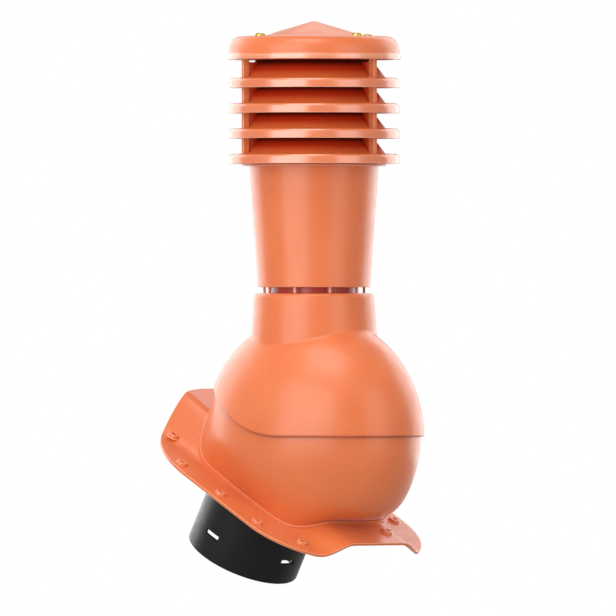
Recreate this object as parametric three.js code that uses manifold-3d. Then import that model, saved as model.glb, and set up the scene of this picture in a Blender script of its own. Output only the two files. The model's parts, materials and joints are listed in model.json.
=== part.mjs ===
// Roof ventilation outlet of moulded plastic: a louvred vent pipe standing in the collar of a domed hood,
// which tilts on the bowl of a flashing base shaped for a wave-profile metal tile roof.
// Millimetres. +Z is up along the pipe, -Y is downhill and +X is across the slope.
// Everything is laid out about the pivot centre of the hood, then moved so that the origin lies on the
// underside of the flashing's downhill crest, where it seats on the roof.

import * as THREE from "three";
import { mergeVertices } from "three/addons/utils/BufferGeometryUtils.js";
import Module from "manifold-3d";

// Roof and general sizes
const ROOF_PITCH = THREE.MathUtils.degToRad(29);
const WALL = 3;
const FIT_GAP = 0.3;
const TURN_SIDES = 24;
const ARC_STEPS = 2;
const MERGE_STEP = 1e-4;
const FAR = 220;

// Hood: an ellipsoid turned about the cross-slope axis, with a round collar on top
const HOOD_RADIUS = 132.5;
const HOOD_HALF_WIDTH = 101.5;
const HOOD_WALL = 2.4;
const HOOD_TURNS = 36;
const HOOD_BANDS = 16;
const HOOD_EDGE_BEND_START = -41;
const HOOD_EDGE_BEND_RADIUS = 145;
const HOOD_EDGE_STEPS = 6;
const COLLAR_TOP = 154.5;
const COLLAR_TOP_RADIUS = 64.9;
const COLLAR_FOOT_RADIUS = 68;
const COLLAR_FOOT = 108;
const COLLAR_ROUND = 5;

// Bowl of the flashing base, nested inside the hood
const BOWL_GAP = 1.6;
const BOWL_RADIUS = HOOD_RADIUS - HOOD_WALL - BOWL_GAP;
const BOWL_HALF_WIDTH = HOOD_HALF_WIDTH - HOOD_WALL - BOWL_GAP;
const BOWL_RIM_HEIGHT = 76;
const BOWL_RIM_RISE = 0.27;
const BOWL_BANDS = 7;
const BASE_TURNS = 44;
const TAPER_START = -4;
const TAPER_POWER = 3.2;
const PLINTH_STEP = 2.4;
const PLINTH_HEIGHT = 3.2;

// Flashing plate, in roof coordinates: down the slope, across the slope and up from the pivot centre
const PLATE_LEVEL = -71.8;
const PLATE_THICKNESS = 3;
const PLATE = { up: -160, down: 137.5, halfWidth: 121.5, cornerUp: 115, cornerDown: 76 };
const FOOT = { up: -121, down: 93, halfWidth: 75.6, cornerUp: 68, cornerDown: 42 };
const PLATE_BANDS = 3;
const CREST_CENTRE = 4;
const CREST_FLAT = 38;
const CREST_FOOT = 82;
const CREST_WIDENING = 6;
const CREST_HEIGHT_DOWN = 17;
const CREST_HEIGHT_UP = 42;
const CREST_RAMP_START = 78;
const FLOOR_TOP = PLATE_LEVEL - 1;
const SEAT_DOWN = 109;

// Screw bosses on the plate
const BOSS_FOOT_RADIUS = 7;
const BOSS_TOP_RADIUS = 5.6;
const BOSS_HEIGHT = 3;
const BOSS_HOLE_RADIUS = 2.3;
const BOSS_SIDES = 8;
const BOSS_ROW_ACROSS = 107;
const BOSS_ROW_DOWN = [-69, -3, 60];
const BOSS_UPPER_CORNER = { down: -121, across: 74 };
const BOSS_LOWER_CORNER = { down: 105, across: -79 };
const BOSS_ON_CREST = { down: 114, across: 37 };

// Duct spigot, square to the roof
const SPIGOT_RADIUS = 62.5;
const SPIGOT_DOWN = -30;
const SPIGOT_END = -165;
const SPIGOT_FLANGE_RADIUS = 66.5;
const SPIGOT_FLANGE_THICKNESS = 2.5;
const SLOT_COUNT = 4;
const SLOT_LENGTH = 20;
const SLOT_HEIGHT = 5;
const SLOT_RISE = 27;
const SPIGOT_PLAY = 0.4;

// Vent pipe with its plug-in sleeve and spacer pins
const PIPE_FOOT = 161.2;
const PIPE_FOOT_RADIUS = 60.5;
const PIPE_TOP = 293.9;
const PIPE_TOP_RADIUS = 69.7;
const PIPE_LIP_RADIUS = 77.8;
const PIPE_LIP_THICKNESS = 1.8;
const SLEEVE_RADIUS = 47;
const SLEEVE_FOOT = 120;
const SLEEVE_PLAY = 0.6;
const PIN_COUNT = 9;
const PIN_RADIUS = 54.5;
const PIN_WIDTH = 2.7;
const PIN_TURN = THREE.MathUtils.degToRad(1.5);

// Louvre rings, measured from the lower edge of each
const RING_COUNT = 4;
const RING_BOTTOM = 294.5;
const RING_PITCH = 27.35;
const RING_RADIUS = 92.3;
const RING_WALL = 2.5;
const RIM_HEIGHT = 10.6;
const RIM_ROUND = 5;
const CONE_FOOT_RADIUS = 77.5;
const CONE_TOP_RADIUS = 62.5;
const CONE_SLOPE = 1.307;
const POST_COUNT = 3;
const POST_TURN = THREE.MathUtils.degToRad(-84);
const POST_RADIUS = 80;
const POST_DEPTH = 7.3;
const POST_WIDTH = 5.6;
const WEB_WIDTH = 2.4;
const PLATE_UNDERSIDE = RIM_HEIGHT - RING_WALL;

// Cap and its screws
const CAP_APEX = 449;
const CAP_SHOULDER = 432.3;
const CAP_BOTTOM = 407;
const CAP_RADIUS = 93.6;
const CAP_WALL = 2.6;
const CAP_CONE_RADIUS = 42;
const CAP_CONE_FOOT = 436.6;
const CAP_FLAT_START = 62;
const CAP_FLAT_END = 77;
const CAP_RIM_START = 413.6;
const CAP_RIM_FLARE = 1.2;
const CAP_LEG_ROOT = 2.1;
const SCREW_COUNT = 4;
const SCREW_TURN = THREE.MathUtils.degToRad(-8);
const SCREW_RING_RADIUS = 74;
const SCREW_HEAD_RADIUS = 6.2;
const SCREW_HEAD_HEIGHT = 3.8;
const SCREW_HEAD_EDGE = 1.3;
const SCREW_SHANK_RADIUS = 2;
const SCREW_LENGTH = 11;
const SCREW_SEAT_DEPTH = 0.8;
const SCREW_SIDES = 8;
const SCREW_BOSS_RADIUS = 5;

// Finishes
const terracotta = new THREE.MeshStandardMaterial({ color: 0xe87a4a, roughness: 0.42, metalness: 0 });
const blackPlastic = new THREE.MeshStandardMaterial({ color: 0x232426, roughness: 0.5, metalness: 0 });
const yellowMetal = new THREE.MeshStandardMaterial({ color: 0xd9b34a, roughness: 0.3, metalness: 1 });

const wasm = await Module();
wasm.setup();

// Joining and cutting

function solidFrom(geometry) {
  const bare = geometry.clone();
  bare.deleteAttribute("normal");
  bare.deleteAttribute("uv");
  const merged = mergeVertices(bare, MERGE_STEP);
  const corners = merged.index.array;
  const kept = [];
  for (let i = 0; i < corners.length; i += 3) {
    const [a, b, c] = corners.slice(i, i + 3);
    if (a !== b && b !== c && c !== a) kept.push(a, b, c);
  }
  const vertProperties = new Float32Array(merged.attributes.position.array);
  const triVerts = new Uint32Array(kept);
  return new wasm.Manifold(new wasm.Mesh({ numProp: 3, vertProperties, triVerts }));
}

function geometryFrom(solid) {
  const mesh = solid.getMesh();
  const geometry = new THREE.BufferGeometry();
  geometry.setAttribute("position", new THREE.BufferAttribute(mesh.vertProperties, 3));
  geometry.setIndex(new THREE.BufferAttribute(mesh.triVerts, 1));
  geometry.computeVertexNormals();
  return geometry;
}

// Basic shapes

function turned(path, sides = TURN_SIDES, steps = ARC_STEPS) {
  const geometry = new THREE.LatheGeometry(path.getPoints(steps), sides);
  return geometry.rotateX(Math.PI / 2);
}

function roundBar(radius, low, high, sides, topRadius = radius) {
  const geometry = new THREE.CylinderGeometry(topRadius, radius, high - low, sides);
  return geometry.rotateX(Math.PI / 2).translate(0, 0, (low + high) / 2);
}

function radialBlock(inner, outer, width, low, high, angle) {
  const geometry = new THREE.BoxGeometry(outer - inner, width, high - low);
  return geometry.translate((inner + outer) / 2, 0, (low + high) / 2).rotateZ(angle);
}

function anglesOf(count, start) {
  return Array.from({ length: count }, (_, i) => start + (i * 2 * Math.PI) / count);
}

// Roof coordinates

function onRoof(down, across, up) {
  const y = -down * Math.cos(ROOF_PITCH) - up * Math.sin(ROOF_PITCH);
  const z = -down * Math.sin(ROOF_PITCH) + up * Math.cos(ROOF_PITCH);
  return new THREE.Vector3(across, y, z);
}

function plateHeight(down, across) {
  const span = CREST_RAMP_START - PLATE.up;
  const uphill = THREE.MathUtils.smoothstep(CREST_RAMP_START - down, 0, span);
  const crest = THREE.MathUtils.lerp(CREST_HEIGHT_DOWN, CREST_HEIGHT_UP, uphill);
  const flat = CREST_FLAT + CREST_WIDENING * uphill;
  const beyondFlat = Math.abs(across - CREST_CENTRE) - flat;
  const flank = THREE.MathUtils.clamp(beyondFlat / (CREST_FOOT - CREST_FLAT), 0, 1);
  return PLATE_LEVEL + (crest * (1 + Math.cos(Math.PI * flank))) / 2;
}

function outsideOf(outline, down, across) {
  const lower = down > (outline.up + outline.down) / 2;
  const corner = lower ? outline.cornerDown : outline.cornerUp;
  const alongDown = lower ? down - (outline.down - corner) : outline.up + corner - down;
  const alongAcross = Math.abs(across) - (outline.halfWidth - corner);
  const beyond = Math.hypot(Math.max(alongDown, 0), Math.max(alongAcross, 0));
  return beyond + Math.min(Math.max(alongDown, alongAcross), 0) > corner;
}

function reachOf(outline, down, across) {
  let near = 0;
  let far = FAR;
  while (far - near > MERGE_STEP) {
    const middle = (near + far) / 2;
    if (outsideOf(outline, down * middle, across * middle)) far = middle;
    else near = middle;
  }
  return near;
}

// Flashing base: bowl, plinth, wavy plate, skirt and floor, as one closed section swept round the pivot axis

function bowlReach(down, across, up) {
  const level = Math.sqrt(1 - (up / BOWL_RADIUS) ** 2);
  return level / Math.hypot(across / BOWL_HALF_WIDTH, down / BOWL_RADIUS);
}

function bowlRimAngle(down, across) {
  const lean = BOWL_RIM_RISE * down * bowlReach(down, across, 0);
  return Math.asin(BOWL_RIM_HEIGHT / Math.hypot(BOWL_RADIUS, lean)) + Math.atan2(lean, BOWL_RADIUS);
}

function bowlCurve(down, across, footReach, footLevel) {
  const rim = bowlRimAngle(down, across);
  const foot = Math.asin(footLevel / BOWL_RADIUS);
  const ratio = footReach / bowlReach(down, across, footLevel);
  const points = [];
  for (let i = 0; i < BOWL_BANDS; i += 1) {
    const up = BOWL_RADIUS * Math.sin(THREE.MathUtils.lerp(rim, foot, i / (BOWL_BANDS - 1)));
    const share = THREE.MathUtils.clamp((TAPER_START - up) / (TAPER_START - footLevel), 0, 1);
    points.push([bowlReach(down, across, up) * (1 + (ratio - 1) * share ** TAPER_POWER), up]);
  }
  return points;
}

function insetCurve(points, distance) {
  return points.map(([reach, up], i) => {
    const [reachBefore, upBefore] = points[Math.max(i - 1, 0)];
    const [reachAfter, upAfter] = points[Math.min(i + 1, points.length - 1)];
    const length = Math.hypot(reachAfter - reachBefore, upAfter - upBefore);
    const inward = (upAfter - upBefore) / length;
    const upward = (reachBefore - reachAfter) / length;
    return [reach + distance * inward, up + distance * upward];
  });
}

function plateCurve(down, across, from, to, drop) {
  const points = [];
  for (let i = 0; i <= PLATE_BANDS; i += 1) {
    const reach = THREE.MathUtils.lerp(from, to, i / PLATE_BANDS);
    points.push([reach, plateHeight(down * reach, across * reach) - drop]);
  }
  return points;
}

function holeReach(down) {
  const along = SPIGOT_DOWN * down;
  const radius = SPIGOT_RADIUS + SPIGOT_PLAY;
  return along + Math.sqrt(along ** 2 - SPIGOT_DOWN ** 2 + radius ** 2);
}

function baseSection(angle) {
  const down = Math.sin(angle);
  const across = Math.cos(angle);
  const foot = reachOf(FOOT, down, across);
  const edge = reachOf(PLATE, down, across);
  const plinthTop = plateHeight(down * foot, across * foot) + PLINTH_HEIGHT;
  const step = foot + PLINTH_STEP;
  const outer = bowlCurve(down, across, foot, plinthTop);
  const section = [
    ...outer,
    [step, plinthTop],
    ...plateCurve(down, across, step, edge, 0),
    ...plateCurve(down, across, edge, step, PLATE_THICKNESS),
    [foot, plinthTop - PLINTH_HEIGHT - PLATE_THICKNESS],
    [foot, FLOOR_TOP - WALL],
    [holeReach(down), FLOOR_TOP - WALL],
    [holeReach(down), FLOOR_TOP],
    [foot - WALL, FLOOR_TOP],
    ...insetCurve(outer, WALL).reverse(),
  ];
  return section.map(([reach, up]) => onRoof(down * reach, across * reach, up));
}

function sweptBase() {
  const sections = anglesOf(BASE_TURNS, 0).map(baseSection);
  const size = sections[0].length;
  const turnBack = BOWL_BANDS + PLATE_BANDS + 2;
  const positions = sections.flat().flatMap((point) => point.toArray());
  const indices = [];
  for (let i = 0; i < BASE_TURNS; i += 1) {
    const next = (i + 1) % BASE_TURNS;
    for (let j = 0; j < size; j += 1) {
      const after = (j + 1) % size;
      const [a, b, c, d] = [i * size + j, i * size + after, next * size + after, next * size + j];
      if (j < turnBack) indices.push(a, c, b, a, d, c);
      else indices.push(a, d, b, d, c, b);
    }
  }
  const geometry = new THREE.BufferGeometry();
  geometry.setAttribute("position", new THREE.Float32BufferAttribute(positions, 3));
  geometry.setIndex(indices);
  return geometry;
}

function bossPlaces() {
  const places = [BOSS_LOWER_CORNER, BOSS_ON_CREST];
  for (const side of [-1, 1]) {
    places.push({ down: BOSS_UPPER_CORNER.down, across: side * BOSS_UPPER_CORNER.across });
    for (const down of BOSS_ROW_DOWN) places.push({ down, across: side * BOSS_ROW_ACROSS });
  }
  return places;
}

function flashingBase() {
  let base = solidFrom(sweptBase());
  for (const { down, across } of bossPlaces()) {
    const centre = onRoof(down, across, plateHeight(down, across));
    const place = (geometry) => solidFrom(geometry.rotateX(ROOF_PITCH).translate(...centre.toArray()));
    const hollow = PLATE_THICKNESS + BOSS_HEIGHT;
    base = base.add(place(roundBar(BOSS_FOOT_RADIUS, -WALL / 2, BOSS_HEIGHT, BOSS_SIDES, BOSS_TOP_RADIUS)));
    base = base.subtract(place(roundBar(BOSS_HOLE_RADIUS, -hollow, hollow, BOSS_SIDES)));
  }
  return geometryFrom(base);
}

// Hood with its collar

function ellipsoid(inset) {
  const geometry = new THREE.SphereGeometry(1, HOOD_TURNS, HOOD_BANDS).rotateZ(Math.PI / 2);
  const radius = HOOD_RADIUS - inset;
  return geometry.scale(HOOD_HALF_WIDTH - inset, radius, radius);
}

function belowHoodEdge() {
  const turn = -Math.PI / 2;
  const bendEnd = HOOD_EDGE_BEND_START + HOOD_EDGE_BEND_RADIUS * Math.sin(ROOF_PITCH);
  const bendRise = HOOD_EDGE_BEND_RADIUS * (1 - Math.cos(ROOF_PITCH));
  const shape = new THREE.Shape();
  shape.moveTo(-FAR, -FAR);
  shape.lineTo(FAR, -FAR);
  shape.lineTo(FAR, bendRise + (FAR - bendEnd) * Math.tan(ROOF_PITCH));
  shape.lineTo(bendEnd, bendRise);
  const centre = [HOOD_EDGE_BEND_START, HOOD_EDGE_BEND_RADIUS];
  shape.absarc(...centre, HOOD_EDGE_BEND_RADIUS, turn + ROOF_PITCH, turn, true);
  shape.lineTo(-FAR, 0);
  const settings = { depth: 2 * FAR, bevelEnabled: false, curveSegments: HOOD_EDGE_STEPS };
  const geometry = new THREE.ExtrudeGeometry(shape, settings).translate(0, 0, -FAR);
  const [acrossSlope, uphill, up] = [[1, 0, 0], [0, 1, 0], [0, 0, 1]].map((v) => new THREE.Vector3(...v));
  return geometry.applyMatrix4(new THREE.Matrix4().makeBasis(uphill, up, acrossSlope));
}

function hood() {
  const buried = COLLAR_FOOT / 2;
  const collar = new THREE.Path();
  collar.moveTo(0, buried);
  collar.lineTo(COLLAR_FOOT_RADIUS, buried);
  collar.lineTo(COLLAR_FOOT_RADIUS, COLLAR_FOOT);
  collar.lineTo(COLLAR_TOP_RADIUS, COLLAR_TOP - COLLAR_ROUND);
  collar.quadraticCurveTo(COLLAR_TOP_RADIUS, COLLAR_TOP, COLLAR_TOP_RADIUS - COLLAR_ROUND, COLLAR_TOP);
  collar.lineTo(0, COLLAR_TOP);
  const bore = new THREE.Path();
  bore.moveTo(0, 0);
  bore.lineTo(COLLAR_FOOT_RADIUS - WALL, 0);
  bore.lineTo(COLLAR_FOOT_RADIUS - WALL, COLLAR_FOOT);
  bore.lineTo(COLLAR_TOP_RADIUS - WALL, COLLAR_TOP - WALL);
  bore.lineTo(0, COLLAR_TOP - WALL);
  const sleeveHole = roundBar(SLEEVE_RADIUS + SLEEVE_PLAY, COLLAR_FOOT, FAR, TURN_SIDES);
  let shell = solidFrom(ellipsoid(0)).add(solidFrom(turned(collar)));
  for (const cut of [ellipsoid(HOOD_WALL), turned(bore), sleeveHole, belowHoodEdge()]) {
    shell = shell.subtract(solidFrom(cut));
  }
  return geometryFrom(shell);
}

// Vent pipe

function ventPipe() {
  const seat = RING_BOTTOM + coneUnderside(PIPE_TOP_RADIUS) - FIT_GAP;
  const lipFoot = PIPE_TOP - PIPE_LIP_THICKNESS;
  const webTop = PIPE_FOOT + WALL;
  const path = new THREE.Path();
  path.moveTo(PIPE_TOP_RADIUS, seat);
  path.lineTo(PIPE_TOP_RADIUS - WALL, seat);
  path.lineTo(PIPE_TOP_RADIUS - WALL, lipFoot);
  path.lineTo(PIPE_FOOT_RADIUS - WALL, webTop);
  path.lineTo(SLEEVE_RADIUS - WALL, webTop);
  path.lineTo(SLEEVE_RADIUS - WALL, SLEEVE_FOOT);
  path.lineTo(SLEEVE_RADIUS, SLEEVE_FOOT);
  path.lineTo(SLEEVE_RADIUS, PIPE_FOOT);
  path.lineTo(PIPE_FOOT_RADIUS, PIPE_FOOT);
  path.lineTo(PIPE_TOP_RADIUS, lipFoot);
  path.lineTo(PIPE_LIP_RADIUS, lipFoot);
  path.lineTo(PIPE_LIP_RADIUS, PIPE_TOP);
  path.lineTo(PIPE_TOP_RADIUS, PIPE_TOP);
  path.closePath();
  let pipe = solidFrom(turned(path));
  const [pinInner, pinOuter] = [PIN_RADIUS - PIN_WIDTH / 2, PIN_RADIUS + PIN_WIDTH / 2];
  for (const angle of anglesOf(PIN_COUNT, PIN_TURN)) {
    const low = COLLAR_TOP + FIT_GAP;
    pipe = pipe.add(solidFrom(radialBlock(pinInner, pinOuter, PIN_WIDTH, low, PIPE_FOOT + WALL / 2, angle)));
  }
  return geometryFrom(pipe);
}

// Louvre rings

function coneUnderside(radius) {
  const drop = RING_WALL * Math.hypot(1, CONE_SLOPE);
  return RIM_HEIGHT + (CONE_FOOT_RADIUS - radius) * CONE_SLOPE - drop;
}

function coneUndersideRadius(height) {
  return CONE_FOOT_RADIUS - (height - coneUnderside(CONE_FOOT_RADIUS)) / CONE_SLOPE;
}

function louvreRing() {
  const coneTop = RIM_HEIGHT + (CONE_FOOT_RADIUS - CONE_TOP_RADIUS) * CONE_SLOPE;
  const innerRim = RING_RADIUS - RING_WALL;
  const path = new THREE.Path();
  path.moveTo(RING_RADIUS, 0);
  path.lineTo(RING_RADIUS, RIM_HEIGHT - RIM_ROUND);
  path.quadraticCurveTo(RING_RADIUS, RIM_HEIGHT, RING_RADIUS - RIM_ROUND, RIM_HEIGHT);
  path.lineTo(CONE_FOOT_RADIUS, RIM_HEIGHT);
  path.lineTo(CONE_TOP_RADIUS, coneTop);
  path.lineTo(coneUndersideRadius(coneTop), coneTop);
  path.lineTo(coneUndersideRadius(PLATE_UNDERSIDE), PLATE_UNDERSIDE);
  path.lineTo(RING_RADIUS - RIM_ROUND, PLATE_UNDERSIDE);
  path.lineTo(innerRim, RIM_HEIGHT - RIM_ROUND);
  path.lineTo(innerRim, 0);
  path.closePath();
  let ring = solidFrom(turned(path));
  const [postInner, postOuter] = [POST_RADIUS - POST_DEPTH / 2, POST_RADIUS + POST_DEPTH / 2];
  const postLow = RIM_HEIGHT - RING_WALL / 2;
  const postHigh = RING_PITCH + PLATE_UNDERSIDE - FIT_GAP;
  const web = new THREE.Shape();
  const webLow = RIM_HEIGHT;
  web.moveTo(CONE_FOOT_RADIUS - RING_WALL / 2, webLow);
  web.lineTo(POST_RADIUS, webLow);
  web.lineTo(POST_RADIUS, RING_PITCH);
  const webTopRadius = CONE_FOOT_RADIUS - (RING_PITCH - RIM_HEIGHT) / CONE_SLOPE;
  web.lineTo(webTopRadius - RING_WALL / 2, RING_PITCH);
  for (const angle of anglesOf(POST_COUNT, POST_TURN)) {
    const plate = new THREE.ExtrudeGeometry(web, { depth: WEB_WIDTH, bevelEnabled: false });
    plate.translate(0, 0, -WEB_WIDTH / 2).rotateX(Math.PI / 2).rotateZ(angle);
    ring = ring.add(solidFrom(radialBlock(postInner, postOuter, POST_WIDTH, postLow, postHigh, angle)));
    ring = ring.add(solidFrom(plate));
  }
  return geometryFrom(ring);
}

// Cap

function capOutline(path, inset) {
  path.lineTo(CAP_CONE_RADIUS, CAP_CONE_FOOT - inset);
  const flat = CAP_SHOULDER - inset;
  path.quadraticCurveTo((CAP_CONE_RADIUS + CAP_FLAT_START) / 2, flat, CAP_FLAT_START, flat);
  path.lineTo(CAP_FLAT_END, flat);
  const rimRadius = CAP_RADIUS - CAP_RIM_FLARE - inset;
  path.quadraticCurveTo(rimRadius, flat, rimRadius, CAP_RIM_START);
  path.lineTo(CAP_RADIUS - inset, CAP_BOTTOM);
}

function cap() {
  const outer = new THREE.Path();
  outer.moveTo(0, CAP_APEX);
  capOutline(outer, 0);
  const inner = new THREE.Path();
  inner.moveTo(0, CAP_APEX - CAP_WALL);
  capOutline(inner, CAP_WALL);
  const points = [...outer.getPoints(ARC_STEPS), ...inner.getPoints(ARC_STEPS).reverse()];
  const shell = new THREE.LatheGeometry(points.reverse(), TURN_SIDES).rotateX(Math.PI / 2);
  let body = solidFrom(shell);
  const [postInner, postOuter] = [POST_RADIUS - POST_DEPTH / 2, POST_RADIUS + POST_DEPTH / 2];
  const legLow = RING_BOTTOM + RING_COUNT * RING_PITCH + PLATE_UNDERSIDE;
  const legHigh = CAP_SHOULDER - CAP_LEG_ROOT;
  for (const angle of anglesOf(POST_COUNT, POST_TURN)) {
    body = body.add(solidFrom(radialBlock(postInner, postOuter, POST_WIDTH, legLow, legHigh, angle)));
  }
  const seat = CAP_SHOULDER - SCREW_SEAT_DEPTH;
  const bossLow = seat - SCREW_LENGTH - CAP_WALL;
  const holeLow = seat - SCREW_LENGTH - FIT_GAP;
  for (const angle of anglesOf(SCREW_COUNT, SCREW_TURN)) {
    const place = (bar) => solidFrom(bar.translate(SCREW_RING_RADIUS, 0, 0).rotateZ(angle));
    body = body.add(place(roundBar(SCREW_BOSS_RADIUS, bossLow, seat, SCREW_SIDES)));
    body = body.subtract(place(roundBar(SCREW_HEAD_RADIUS + FIT_GAP, seat, CAP_APEX, SCREW_SIDES)));
    body = body.subtract(place(roundBar(SCREW_SHANK_RADIUS + FIT_GAP, holeLow, CAP_APEX, SCREW_SIDES)));
  }
  return geometryFrom(body);
}

function capScrew() {
  const path = new THREE.Path();
  path.moveTo(0, -SCREW_LENGTH);
  path.lineTo(SCREW_SHANK_RADIUS, -SCREW_LENGTH);
  path.lineTo(SCREW_SHANK_RADIUS, FIT_GAP);
  path.lineTo(SCREW_HEAD_RADIUS, FIT_GAP);
  path.lineTo(SCREW_HEAD_RADIUS, SCREW_HEAD_EDGE);
  path.quadraticCurveTo(SCREW_HEAD_RADIUS, SCREW_HEAD_HEIGHT, 0, SCREW_HEAD_HEIGHT);
  return turned(path, SCREW_SIDES);
}

// Duct spigot

function ductSpigot() {
  const flangeLow = FLOOR_TOP + FIT_GAP;
  const flangeHigh = flangeLow + SPIGOT_FLANGE_THICKNESS;
  const path = new THREE.Path();
  path.moveTo(SPIGOT_RADIUS, SPIGOT_END);
  path.lineTo(SPIGOT_RADIUS, flangeLow);
  path.lineTo(SPIGOT_FLANGE_RADIUS, flangeLow);
  path.lineTo(SPIGOT_FLANGE_RADIUS, flangeHigh);
  path.lineTo(SPIGOT_RADIUS - WALL, flangeHigh);
  path.lineTo(SPIGOT_RADIUS - WALL, SPIGOT_END);
  path.closePath();
  let tube = solidFrom(turned(path));
  const [slotInner, slotOuter] = [SPIGOT_RADIUS - 2 * WALL, SPIGOT_RADIUS + WALL];
  const slotLow = SPIGOT_END + SLOT_RISE - SLOT_HEIGHT / 2;
  for (const angle of anglesOf(SLOT_COUNT, 0)) {
    const slot = radialBlock(slotInner, slotOuter, SLOT_LENGTH, slotLow, slotLow + SLOT_HEIGHT, angle);
    tube = tube.subtract(solidFrom(slot));
  }
  return geometryFrom(tube);
}

// Assembly

const vent = new THREE.Group();
const assembly = new THREE.Group();
const seatPoint = onRoof(SEAT_DOWN, 0, PLATE_LEVEL + CREST_HEIGHT_DOWN - PLATE_THICKNESS);
assembly.position.copy(seatPoint).negate();
vent.add(assembly);

function place(name, geometry, material) {
  const mesh = new THREE.Mesh(geometry, material);
  mesh.name = name;
  assembly.add(mesh);
  return mesh;
}

place("flashing_base", flashingBase(), terracotta);
place("hood", hood(), terracotta);
place("vent_pipe", ventPipe(), terracotta);
place("cap", cap(), terracotta);

const spigot = place("duct_spigot", ductSpigot(), blackPlastic);
spigot.position.copy(onRoof(SPIGOT_DOWN, 0, 0));
spigot.rotation.x = ROOF_PITCH;

const ringGeometry = louvreRing();
for (let i = 0; i < RING_COUNT; i += 1) {
  const ring = place(`louvre_ring_${i + 1}`, ringGeometry, terracotta);
  ring.position.z = RING_BOTTOM + (RING_COUNT - 1 - i) * RING_PITCH;
}

const screwGeometry = capScrew();
anglesOf(SCREW_COUNT, SCREW_TURN).forEach((angle, i) => {
  const screw = place(`cap_screw_${i + 1}`, screwGeometry, yellowMetal);
  const [x, y] = [SCREW_RING_RADIUS * Math.cos(angle), SCREW_RING_RADIUS * Math.sin(angle)];
  screw.position.set(x, y, CAP_SHOULDER - SCREW_SEAT_DEPTH);
});

export default vent;
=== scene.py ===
"""Roof vent pipe of moulded plastic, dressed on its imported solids.

Metres. +Z is up along the pipe, -Y is downhill and +X is across the slope.
Heights and radii of the upper pieces are counted from the hood's pivot centre.
"""

import json
import math

import bmesh
import bpy
from bpy.props import FloatProperty, FloatVectorProperty, PointerProperty
from mathutils import Matrix, Vector


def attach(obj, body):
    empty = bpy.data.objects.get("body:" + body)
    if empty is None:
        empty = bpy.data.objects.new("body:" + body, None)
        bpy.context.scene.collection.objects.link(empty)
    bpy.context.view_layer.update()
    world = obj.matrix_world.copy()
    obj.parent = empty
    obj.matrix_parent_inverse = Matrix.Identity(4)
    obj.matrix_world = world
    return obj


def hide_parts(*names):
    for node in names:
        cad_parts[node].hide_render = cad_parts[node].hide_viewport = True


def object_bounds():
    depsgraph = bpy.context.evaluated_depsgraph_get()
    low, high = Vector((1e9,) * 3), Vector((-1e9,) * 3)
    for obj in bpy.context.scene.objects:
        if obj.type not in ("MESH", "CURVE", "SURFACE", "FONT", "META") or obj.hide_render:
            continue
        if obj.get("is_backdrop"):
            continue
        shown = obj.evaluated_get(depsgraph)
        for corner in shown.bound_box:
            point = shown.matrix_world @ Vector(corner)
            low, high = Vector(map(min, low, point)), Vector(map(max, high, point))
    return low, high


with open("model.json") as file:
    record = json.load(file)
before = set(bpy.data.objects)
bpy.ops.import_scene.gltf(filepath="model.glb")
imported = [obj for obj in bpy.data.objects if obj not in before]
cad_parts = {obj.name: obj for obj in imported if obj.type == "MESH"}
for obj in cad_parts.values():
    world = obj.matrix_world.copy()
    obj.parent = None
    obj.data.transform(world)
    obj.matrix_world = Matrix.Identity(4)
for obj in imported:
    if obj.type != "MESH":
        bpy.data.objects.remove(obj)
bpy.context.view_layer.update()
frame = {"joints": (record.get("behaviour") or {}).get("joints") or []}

bl_info = {
    "name": "Roof Vent Pipe",
    "version": (1, 0, 0),
    "blender": (4, 5, 0),
    "location": "View3D > Sidebar > Roof Vent",
    "description": "Builds a louvred roof vent pipe with its hood and flashing base",
    "category": "Add Mesh",
}

PIVOT = Vector(frame["joints"][0]["pos_m"])

# How finely the pieces are turned and rounded
TURN_STEPS = 144
SWEEP_STEPS = 264
EASE_STEPS = 4
SOLVE_STEPS = 40
SHARP_ANGLE = math.radians(38)

# Most of a line's length that a rounding may take from one of its ends
TRIM_SHARE = 0.45

# Roundings of moulded corners, from crisp to full
CRISP_ROUND = 0.0004
LIP_ROUND = 0.0005
EDGE_ROUND = 0.0006
RIM_EDGE_ROUND = 0.0007
SOFT_ROUND = 0.0008
NECK_ROUND = 0.0010
FOOT_ROUND = 0.0012
WEB_ROUND = 0.0015

# Hood edge and collar
EDGE_LOWEST = -0.010
EDGE_BEND_START = -0.041
EDGE_BEND_RADIUS = 0.145
COLLAR_FOOT = 0.108
COLLAR_ROUND = 0.005
COLLAR_CREASE = 0.002
HOOD_EDGE_ROUND = 0.0028

# Bowl of the flashing base
BOWL_RIM_HEIGHT = 0.076
BOWL_RIM_RISE = 0.27
TAPER_START = -0.004
TAPER_POWER = 3.2
BEAD_WIDTH = 0.0024
BEAD_HEIGHT = 0.0032
BEAD_ROUND = 0.0004

# Flashing plate: outlines as down-slope ends, half width and corner radii
PLATE_LEVEL = -0.0718
PLATE = {"up": -0.160, "down": 0.1375, "half": 0.1215, "corner_up": 0.115, "corner_down": 0.076}
FOOT = {"up": -0.121, "down": 0.093, "half": 0.0756, "corner_up": 0.068, "corner_down": 0.042}
CREST_CENTRE = 0.004
CREST_FLAT = 0.038
CREST_FOOT = 0.082
CREST_WIDENING = 0.006
CREST_RAMP_START = 0.078
FLOOR_SINK = 0.001
FLOOR_TOP = PLATE_LEVEL - FLOOR_SINK
PLATE_EDGE_ROUND = 0.0005
FAR = 0.22

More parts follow.
